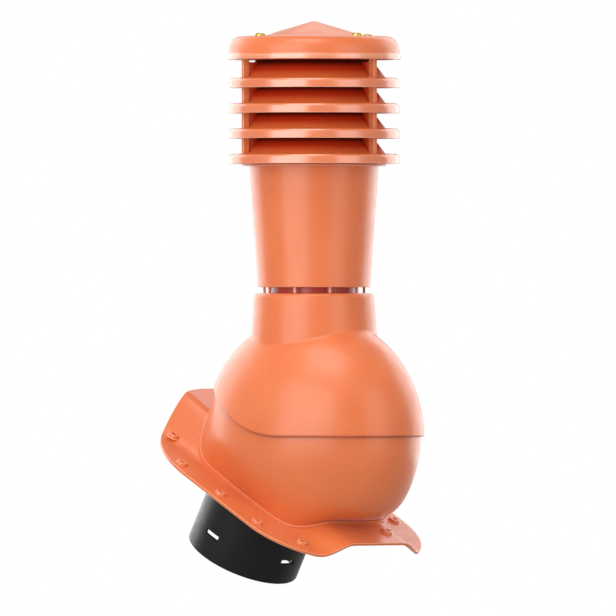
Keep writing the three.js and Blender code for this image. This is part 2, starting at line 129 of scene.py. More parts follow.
# Screw bosses on the plate, as down-slope and cross-slope places
BOSS_PLACES = [(0.105, -0.079), (0.114, 0.037)]
BOSS_PLACES += [(-0.121, side * 0.074) for side in (-1, 1)]
BOSS_PLACES += [(down, side * 0.107) for side in (-1, 1) for down in (-0.069, -0.003, 0.060)]
BOSS_FOOT_RADIUS = 0.007
BOSS_TOP_RADIUS = 0.0056
BOSS_HOLE_RADIUS = 0.0023
BOSS_HEIGHT = 0.003
BOSS_FLARE = 0.0008
BOSS_FLARE_RISE = 0.0007
BOSS_FLARE_LIFT = 0.0001
BOSS_LEAN = 0.0003
BOSS_MOUTH = 0.0008
BOSS_TURNS = 32

# Duct spigot
SPIGOT_DOWN = -0.030
SPIGOT_END = -0.165
SPIGOT_FLANGE = 0.004
SPIGOT_FLANGE_THICKNESS = 0.0025
SLOT_SIZE = (0.020, 0.0050)
SLOT_RISE = 0.027
SLOT_COUNT = 4
SLOT_EDGE = 0.0009

# Vent pipe
PIPE_FOOT = 0.1612
PIPE_TOP = 0.2939
PIPE_LIP_RADIUS = 0.0778
PIPE_LIP_THICKNESS = 0.0018
SLEEVE_RADIUS = 0.047
SLEEVE_FOOT = 0.120
SLEEVE_PLAY = 0.0006
PIN_COUNT = 9
PIN_RADIUS = 0.0545
PIN_WIDTH = 0.0027
PIN_TURN = math.radians(1.5)
PIN_EDGE = 0.0003

# Louvre rings
RING_COUNT = 4
RING_BOTTOM = 0.2945
RING_WALL = 0.0025
RIM_HEIGHT = 0.0106
RIM_ROUND = 0.005
CONE_FOOT_RADIUS = 0.0775
CONE_TOP_RADIUS = 0.0625
CONE_SLOPE = 1.307
POST_COUNT = 3
POST_TURN = math.radians(-84)
POST_RADIUS = 0.080
POST_DEPTH = 0.0073
POST_WIDTH = 0.0056
WEB_WIDTH = 0.0024
PLATE_UNDERSIDE = RIM_HEIGHT - RING_WALL

# Cap
CAP_APEX = 0.449
CAP_TIP_BLUNT = 0.0009
CAP_TIP_BEND = 0.002
CAP_TIP_RADIUS = 0.006
CAP_TIP_FALL = 0.0018
CAP_SHOULDER = 0.4323
CAP_BOTTOM = 0.407
CAP_WALL = 0.0026
CAP_CONE_RADIUS = 0.042
CAP_CONE_FOOT = 0.4366
CAP_FLAT_START = 0.062
CAP_FLAT_END = 0.077
CAP_RIM_START = 0.4136
CAP_RIM_FLARE = 0.0012
CAP_STEP_HEIGHT = 0.0011
CAP_STEP_SET = 0.0002
CAP_STEP_BEND = 0.0003
CAP_LIP_DROP = 0.00005
CAP_LEG_ROOT = 0.0021

# Cap screws with a cross recess
SCREW_COUNT = 4
SCREW_TURN = math.radians(-8)
SCREW_RING_RADIUS = 0.074
SCREW_HEAD_HEIGHT = 0.0038
SCREW_HEAD_EDGE = 0.0013
SCREW_BEVEL = 0.0003
SCREW_SHANK_RADIUS = 0.002
SCREW_LENGTH = 0.011
SCREW_TIP_RADIUS = 0.6 * SCREW_SHANK_RADIUS
SCREW_TIP_LENGTH = 0.001
SCREW_SEAT_DEPTH = 0.0008
SCREW_BOSS_RADIUS = 0.005
SCREW_TURNS = 32
CROSS_REACH = 0.0032
CROSS_HALF_WIDTH = 0.0006
CROSS_DEPTH = 0.0018
CROSS_CLEARANCE = 0.001
CROSS_TURN_START = 0.4
CROSS_TURN_RATE = 1.7

# Gap between pieces that rest on one another
FIT_GAP = 0.0003

# View of the photograph: 616 pixels of 1.08 mm, and the pivot's place in them
VIEW_AZIMUTH = math.radians(-46.5)
VIEW_ELEVATION = math.radians(0.0)
VIEW_PIXELS = 616
PIXEL_SIZE = 0.00108
PIVOT_PIXEL = (314.0, 436.5)
VIEW_DISTANCE = 20.0
VIEW_CLIP = 4 * VIEW_DISTANCE
SENSOR = 36.0

# Stage: soft panels as azimuth from the camera's side and elevation in degrees,
# then width, height and radiance
SOFTBOXES = (
    ("left_softbox", -35, 12, 2.4, 2.6, 2.5),
    ("right_softbox", 47, 12, 1.5, 2.4, 1.35),
    ("top_softbox", -20, 66, 1.6, 1.6, 3.2),
    ("left_rim", -142, 8, 2.4, 2.6, 2.0),
    ("right_rim", 140, 8, 2.3, 2.6, 2.0),
    ("back_softbox", 165, 40, 1.6, 0.8, 1.1),
)
SOFTBOX_DISTANCE = 2.6
SOFTBOX_AIM = 0.15
SURROUND_LIGHT = 0.5
FLOOR_DROP = 0.075
FLOOR_RADIUS = 1.6
FLOOR_SIDES = 96
FLOOR_DRIFT = 0.98
FLOOR_ROUGH = 0.85

# Radii between which a painted shade darkens the tone towards the inside of the louvres and of the
# pipe's foot
LOUVRE_SHADE = (0.0705, 0.0780)
# Radii of the darkest painted shade, at the top of each louvre gap
LOUVRE_DARKEST_SHADE = (0.0650, 0.0688)
SLEEVE_SHADE = (0.0505, 0.0580)

# Radius beyond which the louvre rings are glossy
LOUVRE_GLOSS_RADIUS = 0.0845

# Curvatures between which a convex edge starts to get its worn tone and painted highlight and gets
# them fully, per metre, and how strong those pale edges and the painted shade under the hood's edge
# are in their faint and in their full patches
WEAR_AND_HIGHLIGHT_CURVATURE = (100.0, 350.0)
WEAR_AND_PAINTED_LIGHT_STRENGTH = (0.7, 1.0)
# Tones laid on edges: worn tone with painted highlight, and painted shade under the hood's edge
EDGE_TONES = {"edge_wear_and_highlight": "terracotta_worn_and_highlight", "hood_edge_shade": "terracotta_seam_shade"}
TINY = 1e-12

# Noises as scale and detail, the part of their range that is used, and the heights of bumps
CLOUD = (14.0, 4.0)
RIPPLE = (38.0, 1.0)
GLOSS = (65.0, 3.0)
SPECK = (420.0, 2.0)
WEAR_AND_PAINTED_LIGHT_PATCHES = (90.0, 3.0)
PLATING = (260.0, 5.0)
PLATING_SPECK = (1800.0, 2.0)
FLOOR_CLOUD = (2.0, 3.0)
NOISE_RANGE = (0.3, 0.7)
RIPPLE_HEIGHT = 0.00006
SPECK_HEIGHT = 0.000008
PLATING_HEIGHT = 0.00001

# Roughness from the glossiest to the dullest places of each finish
SATIN_ROUGH = (0.31, 0.4)
GLOSS_ROUGH = (0.2, 0.26)
LOUVRE_ROUGH = (0.4, 0.5)
CHARCOAL_ROUGH = (0.3, 0.42)
PLATING_ROUGH = (0.22, 0.45)

# Even settings of the shaders: all plastics, the haze of the orange ones, then what differs
PLASTIC = {"IOR": 1.55, "Coat Weight": 0.12, "Coat Roughness": 0.16}
HAZE = {"Sheen Weight": 0.25, "Sheen Roughness": 0.3, "Sheen Tint": (1.0, 0.9, 0.86, 1)}
GLOSSY_RIM = {"IOR": 1.7, "Specular IOR Level": 1.0, "Coat Weight": 0.1, "Sheen Weight": 0.0}
DULL_LOUVRE = {"Specular IOR Level": 0.03, "Coat Weight": 0.0, "Sheen Weight": 0.0}
DULL_BLACK = {"Specular IOR Level": 0.25, "Coat Weight": 0.0}


def length(label, default, about):
    """A length in metres that a user may change."""
    return FloatProperty(name=label, description=about, default=default, unit="LENGTH", precision=4)


def colour(label, default, about):
    """A linear colour that a user may change."""
    return FloatVectorProperty(
        name=label, description=about, default=default, size=3, subtype="COLOR", min=0, max=1
    )


class VentSizes(bpy.types.PropertyGroup):
    """Main sizes of the vent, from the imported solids."""

    roof_pitch: FloatProperty(
        name="Roof pitch",
        description="Slope of the roof that the flashing lies on",
        default=math.radians(29),
        subtype="ANGLE",
    )
    wall: length("Wall", 0.003, "Wall thickness of the base, pipe and spigot")
    hood_radius: length("Hood radius", 0.1325, "Radius of the hood about its tilt axis")
    hood_half_width: length("Hood half width", 0.1015, "Half of the hood's width across the slope")
    hood_wall: length("Hood wall", 0.0024, "Wall thickness of the hood")
    collar_top: length("Collar top", 0.1545, "Height of the collar's top above the pivot")
    collar_top_radius: length("Collar top radius", 0.0649, "Radius of the collar at its top")
    collar_foot_radius: length("Collar foot radius", 0.068, "Radius of the collar at its foot")
    bowl_gap: length("Bowl gap", 0.0016, "Clearance between the hood and the bowl in it")
    plate_thickness: length("Plate thickness", 0.003, "Thickness of the flashing plate")
    crest_down: length("Crest downhill", 0.017, "Height of the wave at the downhill edge")
    crest_up: length("Crest uphill", 0.042, "Height of the wave at the uphill edge")
    spigot_radius: length("Spigot radius", 0.0625, "Outer radius of the duct spigot")
    pipe_foot_radius: length("Pipe foot radius", 0.0605, "Outer radius of the pipe at its foot")
    pipe_top_radius: length("Pipe top radius", 0.0697, "Outer radius of the pipe at its top")
    ring_radius: length("Ring radius", 0.0923, "Outer radius of the louvre rings")
    ring_pitch: length("Ring pitch", 0.02735, "Height from one louvre ring to the next")
    cap_radius: length("Cap radius", 0.0936, "Outer radius of the cap at its rim")
    screw_head_radius: length("Screw head radius", 0.0062, "Radius of the cap screws' heads")


class VentColours(bpy.types.PropertyGroup):
    """Colours of the mouldings, screws and floor."""

    terracotta: colour("Terracotta", (0.74, 0.175, 0.05), "Colour of the orange mouldings")
    terracotta_deep: colour(
        "Deep terracotta", (0.68, 0.148, 0.04), "Tone that drifts through the orange"
    )
    # Painted shade inside the louvres and in the gap at the pipe's foot
    terracotta_inner_shade: colour("Inner terracotta", (0.5, 0.032, 0.008), "Tone inside the louvres")
    # Painted shade, the darkest, at the top of each louvre gap
    terracotta_darkest_shade: colour("Darkest shade terracotta", (0.075, 0.006, 0.003), "Tone deep inside the vent")
    # Painted shade along the hood's lower edge, where the seam under it lies dark
    terracotta_seam_shade: colour("Seam shade terracotta", (0.34, 0.03, 0.008), "Tone under the hood's edge")
    # Pale tone of worn edges, partly a painted highlight along tight edges
    terracotta_worn_and_highlight: colour(
        "Worn and highlight terracotta", (0.93, 0.46, 0.27), "Tone of the mouldings' pale edges"
    )
    charcoal: colour("Charcoal", (0.005, 0.0052, 0.0056), "Colour of the black spigot")
    charcoal_pale: colour(
        "Pale charcoal", (0.009, 0.0093, 0.01), "Tone that drifts through the black"
    )
    screw_yellow: colour("Screw yellow", (0.78, 0.56, 0.13), "Colour of the plated screws")
    screw_tarnish: colour("Screw tarnish", (0.52, 0.33, 0.07), "Tone in the plating's dull places")
    floor_pale: colour("Pale floor", (0.42, 0.42, 0.415), "Colour of the floor")


def sizes():
    return bpy.context.scene.vent_sizes


def colours():
    return bpy.context.scene.vent_colours


# Curves and sections


def mix(a, b, share):
    return a + (b - a) * share


def clamped(value):
    return min(max(value, 0.0), 1.0)


def smoothstep(value):
    value = clamped(value)
    return value * value * (3 - 2 * value)


def solve(low, high, is_high):
    """The place between low and high where is_high turns true."""
    for _ in range(SOLVE_STEPS):
        middle = (low + high) / 2
        if is_high(middle):
            high = middle
        else:
            low = middle
    return (low + high) / 2


def around(count, start=0.0):
    """Evenly spaced angles of a full turn."""
    return [start + 2 * math.pi * i / count for i in range(count)]


def swung(points, angle):
    """Points of (radius, height) swung round the upright axis."""
    return [(r * math.cos(angle), r * math.sin(angle), z) for r, z in points]


def curve(start, control, end, steps):
    """Points of a quadratic bend, both ends included."""
    points = []
    for i in range(steps + 1):
        t = i / steps
        first, second, third = (1 - t) ** 2, 2 * t * (1 - t), t * t
        corners = zip(start, control, end)
        points.append(tuple(first * a + second * b + third * c for a, b, c in corners))
    return points


def spaced(points, count, trim_start, trim_end):
    """Evenly spaced points of a line, with a stretch trimmed off each end."""
    marks = [0.0]
    for a, b in zip(points, points[1:]):
        marks.append(marks[-1] + math.dist(a, b))
    full = marks[-1]
    trim_start = min(trim_start, TRIM_SHARE * full)
    trim_end = min(trim_end, TRIM_SHARE * full)
    result = []
    segment = 0
    for i in range(count):
        mark = mix(trim_start, full - trim_end, i / (count - 1))
        while segment < len(points) - 2 and marks[segment + 1] < mark:
            segment += 1
        span = marks[segment + 1] - marks[segment]
        share = (mark - marks[segment]) / span if span else 0.0
        result.append(tuple(mix(a, b, share) for a, b in zip(points[segment], points[segment + 1])))
    return result


def eased(parts):
    """A closed section from parts of (points, count, rounding of the corner at the part's end)."""
    lines = []
    for i, (points, count, ease) in enumerate(parts):
        lines.append(spaced(points, count, parts[i - 1][2], ease))
    section = []
    for i, (points, _, ease) in enumerate(parts):
        if ease:
            following = lines[(i + 1) % len(parts)]
            section += lines[i]
            section += curve(lines[i][-1], points[-1], following[0], EASE_STEPS)[1:-1]
        else:
            section += lines[i][:-1]
    return section


def cornered(corners):
    """A closed section of straight sides from corners of (radius, height, rounding)."""
    parts = []
    for i, corner in enumerate(corners):
        following = corners[(i + 1) % len(corners)]
        parts.append(([corner[:2], following[:2]], 2, following[2]))
    return eased(parts)


# Meshes


def loft(sections):
    """A closed tube of faces through closed sections that run round in a ring."""
    shape = bmesh.new()
    rings = [[shape.verts.new(point) for point in section] for section in sections]
    size = len(sections[0])
    for i, ring in enumerate(rings):
        following = rings[(i + 1) % len(rings)]
        for j in range(size):
            after = (j + 1) % size
            shape.faces.new((ring[j], ring[after], following[after], following[j]))
    return shape


def turned(section, steps=TURN_STEPS):
    """A section of (radius, height) turned about the upright axis."""
    return loft([swung(section, angle) for angle in around(steps)])


def turned_solid(outline, steps=TURN_STEPS):
    """A solid turned from an open outline that starts and ends on the axis."""
    shape = bmesh.new()
    first = shape.verts.new((0, 0, outline[0][1]))
    last = shape.verts.new((0, 0, outline[-1][1]))
    rings = []
    for angle in around(steps):
        rings.append([shape.verts.new(point) for point in swung(outline[1:-1], angle)])
    for i, ring in enumerate(rings):
        following = rings[(i + 1) % steps]
        shape.faces.new((first, ring[0], following[0]))
        shape.faces.new((last, following[-1], ring[-1]))
        for j in range(len(ring) - 1):
            shape.faces.new((ring[j], ring[j + 1], following[j + 1], following[j]))
    return shape


def block(low, high, edge):
    """A box between two corners with its edges rounded."""
    shape = bmesh.new()
    bmesh.ops.create_cube(shape, size=1)
    for vert in shape.verts:
        vert.co = Vector([mix(a, b, c + 0.5) for a, b, c in zip(low, high, vert.co)])
    if edge:
        edges = shape.edges[:]
        bmesh.ops.bevel(shape, geom=edges, offset=edge, segments=3, profile=0.5, affect="EDGES")
    return shape


def bar(radius, low, high, place, steps):
    """A round bar along the upright axis, moved to a place."""
    shape = turned_solid([(0, low), (radius, low), (radius, high), (0, high)], steps)
    shape.transform(place)
    return shape


def radial_block(inner, outer, width, low, high, angle, edge):
    shape = block((inner, -width / 2, low), (outer, width / 2, high), edge)
    shape.transform(Matrix.Rotation(angle, 4, "Z"))
    return shape


def post_block(low, high, angle, edge):
    """A post between two louvre rings or under the cap."""
    inner, outer = POST_RADIUS - POST_DEPTH / 2, POST_RADIUS + POST_DEPTH / 2
    return radial_block(inner, outer, POST_WIDTH, low, high, angle, edge)


def extruded(outline, thickness):
    """A flat outline of (radius, height) points made into a plate about the XZ plane."""
    shape = bmesh.new()
    front = [shape.verts.new((r, -thickness / 2, z)) for r, z in outline]
    back = [shape.verts.new((r, thickness / 2, z)) for r, z in outline]
    shape.faces.new(front)
    shape.faces.new(back[::-1])
    for i in range(len(outline)):
        after = (i + 1) % len(outline)
        shape.faces.new((front[i], back[i], back[after], front[after]))
    return shape


def add_shape(target, shape):
    """Adds one shape's faces to another and frees it."""
    mesh = bpy.data.meshes.new("part")
    shape.to_mesh(mesh)
    shape.free()
    target.from_mesh(mesh)
    bpy.data.meshes.remove(mesh)


def object_from(shape, name):
    bmesh.ops.recalc_face_normals(shape, faces=shape.faces[:])
    mesh = bpy.data.meshes.new(name)
    shape.to_mesh(mesh)
    shape.free()
    piece = bpy.data.objects.new(name, mesh)
    bpy.context.scene.collection.objects.link(piece)
    return piece


def combine(piece, tools, operation):
    """Joins the tools to the piece or cuts them from it."""
    together = bmesh.new()
    for tool in tools:
        bmesh.ops.recalc_face_normals(tool, faces=tool.faces[:])
        add_shape(together, tool)
    tool_object = object_from(together, "tool")
    modifier = piece.modifiers.new(operation.title(), "BOOLEAN")
    modifier.operation, modifier.solver = operation, "EXACT"
    modifier.object = tool_object
    bpy.context.view_layer.update()
    evaluated = piece.evaluated_get(bpy.context.evaluated_depsgraph_get())
    result = bpy.data.meshes.new_from_object(evaluated)
    piece.modifiers.clear()
    spent = piece.data
    result.name = piece.name
    piece.data = result
    bpy.data.meshes.remove(spent)
    spent = tool_object.data
    bpy.data.objects.remove(tool_object)
    bpy.data.meshes.remove(spent)


def store(mesh, name, values):
    """Keeps a value for each point, which the finishes read."""
    mesh.attributes.new(name, "FLOAT", "POINT").data.foreach_set("value", values)


def mark_edges(mesh):
    """Stores how far each point lies on a tight outer edge, for the worn tone and painted highlight
    there.
    """
    low, high = WEAR_AND_HIGHLIGHT_CURVATURE
    shape = bmesh.new()
    shape.from_mesh(mesh)
    shape.normal_update()
    wear_and_painted_light = []
    for vert in shape.verts:
        bends = []
        for edge in vert.link_edges:
            away = edge.other_vert(vert).co - vert.co
            bends.append(-vert.normal.dot(away) / max(away.length_squared, TINY))
        bend = sum(bends) / max(len(bends), 1)
        wear_and_painted_light.append(clamped((bend - low) / (high - low)))
    shape.free()
    store(mesh, "edge_wear_and_highlight", wear_and_painted_light)


def finish_piece(piece, material, nodes, body="stack"):
    """Smooth shading, finish, and what the piece rides on and stands for."""
    mesh = piece.data
    mark_edges(mesh)
    mesh.materials.clear()
    mesh.materials.append(material)
    mesh.shade_smooth()
    mesh.set_sharp_from_angle(angle=SHARP_ANGLE)
    normals = piece.modifiers.new("Even shading", "WEIGHTED_NORMAL")
    normals.keep_sharp = True
    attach(piece, body)
    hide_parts(*nodes)


# Roof shapes


def on_roof(down, across, up):
    pitch = sizes().roof_pitch
    y = -down * math.cos(pitch) - up * math.sin(pitch)
    z = -down * math.sin(pitch) + up * math.cos(pitch)
    return PIVOT + Vector((across, y, z))


def roof_frame(down, across, up):
    """Turns a shape square to the roof and moves it to a place on it."""
    turn = Matrix.Rotation(sizes().roof_pitch, 4, "X")
    return Matrix.Translation(on_roof(down, across, up)) @ turn


def plate_height(down, across):
    rise = smoothstep((CREST_RAMP_START - down) / (CREST_RAMP_START - PLATE["up"]))
    crest = mix(sizes().crest_down, sizes().crest_up, rise)
    beyond_flat = abs(across - CREST_CENTRE) - CREST_FLAT - CREST_WIDENING * rise
    flank = clamped(beyond_flat / (CREST_FOOT - CREST_FLAT))
    return PLATE_LEVEL + crest * (1 + math.cos(math.pi * flank)) / 2


def is_outside(outline, down, across):
    lower = down > (outline["up"] + outline["down"]) / 2
    corner = outline["corner_down"] if lower else outline["corner_up"]
    along = down - (outline["down"] - corner) if lower else outline["up"] + corner - down
    sideways = abs(across) - (outline["half"] - corner)
    beyond = math.hypot(max(along, 0), max(sideways, 0))
    return beyond + min(max(along, sideways), 0) > corner


def outline_reach(outline, down, across):
    return solve(0, FAR, lambda reach: is_outside(outline, down * reach, across * reach))


def shell_reach(along, across, up, inset):
    """How far a shell inside the hood's ellipsoid reaches in a direction, at a height."""
    radius = sizes().hood_radius - inset
    half = sizes().hood_half_width - inset
    level = math.sqrt(max(1 - (up / radius) ** 2, 0.0))
    return level / math.hypot(across / half, along / radius)


def bowl_inset():
    return sizes().hood_wall + sizes().bowl_gap


def bowl_reach(down, across, up):
    return shell_reach(down, across, up, bowl_inset())


def bowl_curve(down, across, foot_reach, foot_level, steps=30):
    """Outside of the bowl from its rim down to the bead at its foot."""
    radius = sizes().hood_radius - bowl_inset()
    lean = BOWL_RIM_RISE * down * bowl_reach(down, across, 0)
    rim = math.asin(BOWL_RIM_HEIGHT / math.hypot(radius, lean)) + math.atan2(lean, radius)
    foot = math.asin(foot_level / radius)
    ratio = foot_reach / bowl_reach(down, across, foot_level)
    points = []
    for i in range(steps + 1):
        up = radius * math.sin(mix(rim, foot, i / steps))
        share = clamped((TAPER_START - up) / (TAPER_START - foot_level))
        points.append((bowl_reach(down, across, up) * (1 + (ratio - 1) * share**TAPER_POWER), up))
    return points


def inset(points, distance):
    """A line moved inward, square to itself."""
    moved = []
    for i, (reach, up) in enumerate(points):
        before = points[max(i - 1, 0)]
        after = points[min(i + 1, len(points) - 1)]
        span = math.dist(before, after)
        inward = (after[1] - before[1]) / span
        upward = (before[0] - after[0]) / span
        moved.append((reach + distance * inward, up + distance * upward))
    return moved


def plate_line(down, across, start, end, drop, steps=40):
    line = []
    for i in range(steps + 1):
        reach = mix(start, end, i / steps)
        line.append((reach, plate_height(down * reach, across * reach) - drop))
    return line


def base_section(angle):
    """Bowl, bead, plate, skirt and floor in one half-plane square to the roof."""
    size = sizes()
    down, across = math.sin(angle), math.cos(angle)
    foot = outline_reach(FOOT, down, across)
    edge = outline_reach(PLATE, down, across)
    step = foot + BEAD_WIDTH
    bead_top = plate_height(down * foot, across * foot) + BEAD_HEIGHT
    along = SPIGOT_DOWN * down
    hole_radius = size.spigot_radius + FIT_GAP
    hole = along + math.sqrt(along**2 - SPIGOT_DOWN**2 + hole_radius**2)
    outer = bowl_curve(down, across, foot, bead_top)
    inner = inset(outer, size.wall)[::-1]
    top = plate_line(down, across, step, edge, 0)
    under = plate_line(down, across, edge, foot, size.plate_thickness)
    floor_under = FLOOR_TOP - size.wall
    section = eased([
        (outer, 28, BEAD_ROUND),
        ([outer[-1], (step, bead_top)], 2, BEAD_ROUND),
        ([(step, bead_top), top[0]], 2, BEAD_ROUND),
        (top, 26, PLATE_EDGE_ROUND),
        ([top[-1], under[0]], 2, PLATE_EDGE_ROUND),
        (under, 22, 0),
        ([under[-1], (foot, floor_under)], 3, 0),
        ([(foot, floor_under), (hole, floor_under)], 5, 0),
        ([(hole, floor_under), (hole, FLOOR_TOP)], 2, 0),
        ([(hole, FLOOR_TOP), (foot - size.wall, FLOOR_TOP)], 5, 0),
        ([(foot - size.wall, FLOOR_TOP), *inner], 24, 0),
        ([inner[-1], outer[0]], 3, 0),
    ])
    return [on_roof(down * reach, across * reach, up) for reach, up in section]


# Finishes


def paint(name):
    """One of the vent's colours as an opaque value."""
    return (*getattr(colours(), name), 1)


class Finish:
    """A new material with the steps that fill in its nodes."""

    def __init__(self, name):
        material = bpy.data.materials.new(name)
        material.use_nodes = True
        self.nodes, self.links = material.node_tree.nodes, material.node_tree.links
        self.shader = self.nodes["Principled BSDF"]
        self.place = self.node("ShaderNodeTexCoord").outputs["Object"]

    def feed(self, node, inputs):
        """Sets each input to a value or links it to a socket."""
        for name, value in inputs.items():
            if isinstance(value, bpy.types.NodeSocket):
                self.links.new(value, node.inputs[name])
            else:
                node.inputs[name].default_value = value

    def shade(self, inputs):
        self.feed(self.shader, inputs)

    def node(self, kind, inputs=(), **settings):
        node = self.nodes.new(kind)
        for name, value in settings.items():
            setattr(node, name, value)
        self.feed(node, dict(inputs))
        return node

    def noise(self, pattern):
        scale, detail = pattern
        inputs = {"Vector": self.place, "Scale": scale, "Detail": detail}
        return self.node("ShaderNodeTexNoise", inputs).outputs["Fac"]

    def spread(self, source, low, high, span=NOISE_RANGE):
        """Maps a span of a value's range to low and high."""
        inputs = {"From Min": span[0], "From Max": span[1], "To Min": low, "To Max": high}
        return self.node("ShaderNodeMapRange", {"Value": source, **inputs}).outputs["Result"]

    def blend(self, share, first, second):
        inputs = {"Factor": share, "A": first, "B": second}
        return self.node("ShaderNodeMix", inputs, data_type="RGBA").outputs["Result"]

    def drift(self, source, first, second):
        """Lets the base colour drift between two tones by a noise."""
        share = self.spread(source, 0.0, 1.0)
        self.shade({"Base Color": self.blend(share, first, second)})

    def overlay(self, share, tone):
        """Lays a tone over the base colour by a share from 0 to 1."""
        below = self.shader.inputs["Base Color"].links[0].from_socket
        self.shade({"Base Color": self.blend(share, below, paint(tone))})

    def grain(self, pattern, height):
        """Lays a fine bump over those before it."""
        inputs = {"Strength": 1.0, "Distance": height, "Height": self.noise(pattern)}
        for link in self.shader.inputs["Normal"].links:
            inputs["Normal"] = link.from_socket
        self.shade({"Normal": self.node("ShaderNodeBump", inputs).outputs["Normal"]})

    def plastic(self, tone, drift, rough):
        """Moulded plastic: drifting tone, uneven gloss, faint flow ripple and fine grain."""
        self.drift(self.noise(CLOUD), paint(tone), paint(drift))
        self.shade({"Roughness": self.spread(self.noise(GLOSS), *rough)})
        self.grain(RIPPLE, RIPPLE_HEIGHT)
        self.grain(SPECK, SPECK_HEIGHT)
        self.shade(PLASTIC)

    def orange_plastic(self, rough):
        """The orange moulding, with a pale haze at grazing angles, edges paled by worn tone and
        painted highlight, and painted shade under the hood's edge.
        """
        self.plastic("terracotta", "terracotta_deep", rough)
        self.shade(HAZE)
        self.wear_and_painted_light()

    def wear_and_painted_light(self):
        """Pale worn tone and painted highlight on tight outer edges, and painted shade under the
        hood's edge, broken up by a noise.
        """
        patches = self.spread(self.noise(WEAR_AND_PAINTED_LIGHT_PATCHES), *WEAR_AND_PAINTED_LIGHT_STRENGTH)
        for attribute, tone in EDGE_TONES.items():
            edge = self.node("ShaderNodeAttribute", attribute_name=attribute).outputs["Fac"]
            share = self.node("ShaderNodeMath", {0: edge, 1: patches}, operation="MULTIPLY")
            self.overlay(share.outputs["Value"], tone)

    def paint_inward_shade(self, radii, tone):
        """Lays a darker tone, a painted shade, over the finish towards the vent's upright axis."""
        inputs = {0: self.place, 1: (1, 1, 0), 2: (-PIVOT.x, -PIVOT.y, 0)}
        flat = self.node("ShaderNodeVectorMath", inputs, operation="MULTIPLY_ADD")
        inputs = {0: flat.outputs["Vector"]}
        radius = self.node("ShaderNodeVectorMath", inputs, operation="LENGTH")
        self.overlay(self.spread(radius.outputs["Value"], 1.0, 0.0, radii), tone)


def made_once(fill):
    """Makes the material that a function fills in and is named after, at its first use."""

    def material():
        name = fill.__name__
        if name not in bpy.data.materials:
            fill(Finish(name))
        return bpy.data.materials[name]

    return material


@made_once
def terracotta_satin(finish):
    finish.orange_plastic(SATIN_ROUGH)


@made_once
def terracotta_gloss(finish):
    finish.orange_plastic(GLOSS_ROUGH)
    finish.shade(GLOSSY_RIM)


@made_once
def terracotta_louvre(finish):
    """Dull orange plastic, with painted shade darkening towards the inside of the louvres."""
    finish.orange_plastic(LOUVRE_ROUGH)
    finish.shade(DULL_LOUVRE)
    finish.paint_inward_shade(LOUVRE_SHADE, "terracotta_inner_shade")
    finish.paint_inward_shade(LOUVRE_DARKEST_SHADE, "terracotta_darkest_shade")


@made_once
def terracotta_pipe(finish):
    """The satin plastic, with painted shade inside the gap at the pipe's foot."""
    finish.orange_plastic(SATIN_ROUGH)
    finish.paint_inward_shade(SLEEVE_SHADE, "terracotta_inner_shade")


@made_once
def charcoal_plastic(finish):
    finish.plastic("charcoal", "charcoal_pale", CHARCOAL_ROUGH)
    finish.shade(DULL_BLACK)


@made_once
def plated_screw(finish):
    """Yellow plated metal with dull patches and fine specks."""
    cloud = finish.noise(PLATING)
    finish.drift(cloud, paint("screw_yellow"), paint("screw_tarnish"))
    finish.shade({"Roughness": finish.spread(cloud, *PLATING_ROUGH), "Metallic": 1.0})
    finish.grain(PLATING_SPECK, PLATING_HEIGHT)


@made_once
def pale_floor(finish):
    """Matt pale floor with a faint drift in its tone."""
    pale = colours().floor_pale
    dimmer = (*(FLOOR_DRIFT * part for part in pale), 1)
    finish.drift(finish.noise(FLOOR_CLOUD), paint("floor_pale"), dimmer)
    finish.shade({"Roughness": FLOOR_ROUGH})


def make_glossy(piece, is_glossy):
    """Gives the glossy finish to the faces whose centre, from the pivot, passes a test."""
    piece.data.materials.append(terracotta_gloss())
    for face in piece.data.polygons:
        face.material_index = int(is_glossy(face.center - PIVOT))


# Pieces


class VENT_OT_flashing_base(bpy.types.Operator):
    """Moulds the wavy flashing plate with its bowl, bead and screw bosses"""

    bl_idname = "vent.flashing_base"
    bl_label = "Flashing base"

    def execute(self, context):
        sections = [base_section(angle) for angle in around(SWEEP_STEPS)]
        piece = object_from(loft(sections), "base_moulding")
        bosses, holes = [], []
        for down, across in BOSS_PLACES:
            place = roof_frame(down, across, plate_height(down, across))
            boss = turned_solid(self.boss_outline(), BOSS_TURNS)
            boss.transform(place)
            bosses.append(boss)
            deep = sizes().plate_thickness + BOSS_HEIGHT
            holes.append(bar(BOSS_HOLE_RADIUS, -deep, deep, place, BOSS_TURNS))
        combine(piece, bosses, "UNION")
        combine(piece, holes, "DIFFERENCE")
        finish_piece(piece, terracotta_satin(), ["flashing_base"], "base")
        return {"FINISHED"}

    def boss_outline(self):
        """Half section from the middle of the plate up to the screw hole's mouth."""
        foot, top, hole = BOSS_FOOT_RADIUS, BOSS_TOP_RADIUS, BOSS_HOLE_RADIUS
        buried = -sizes().plate_thickness / 2
        seat = BOSS_HEIGHT - BOSS_MOUTH
        spread_foot = foot + BOSS_FLARE
        flare_end = (foot - BOSS_LEAN, BOSS_FLARE_RISE)
        flare = curve((spread_foot, 0.0), (foot, BOSS_FLARE_LIFT), flare_end, 3)
        edge_start = (top + BOSS_LEAN, BOSS_HEIGHT - EDGE_ROUND)
        top_edge = curve(edge_start, (top, BOSS_HEIGHT), (top - EDGE_ROUND, BOSS_HEIGHT), 3)
        mouth = curve((hole + BOSS_MOUTH, BOSS_HEIGHT), (hole, BOSS_HEIGHT), (hole, seat), 2)
        return [(0, buried), (spread_foot, buried), *flare, *top_edge, *mouth, (0, seat)]


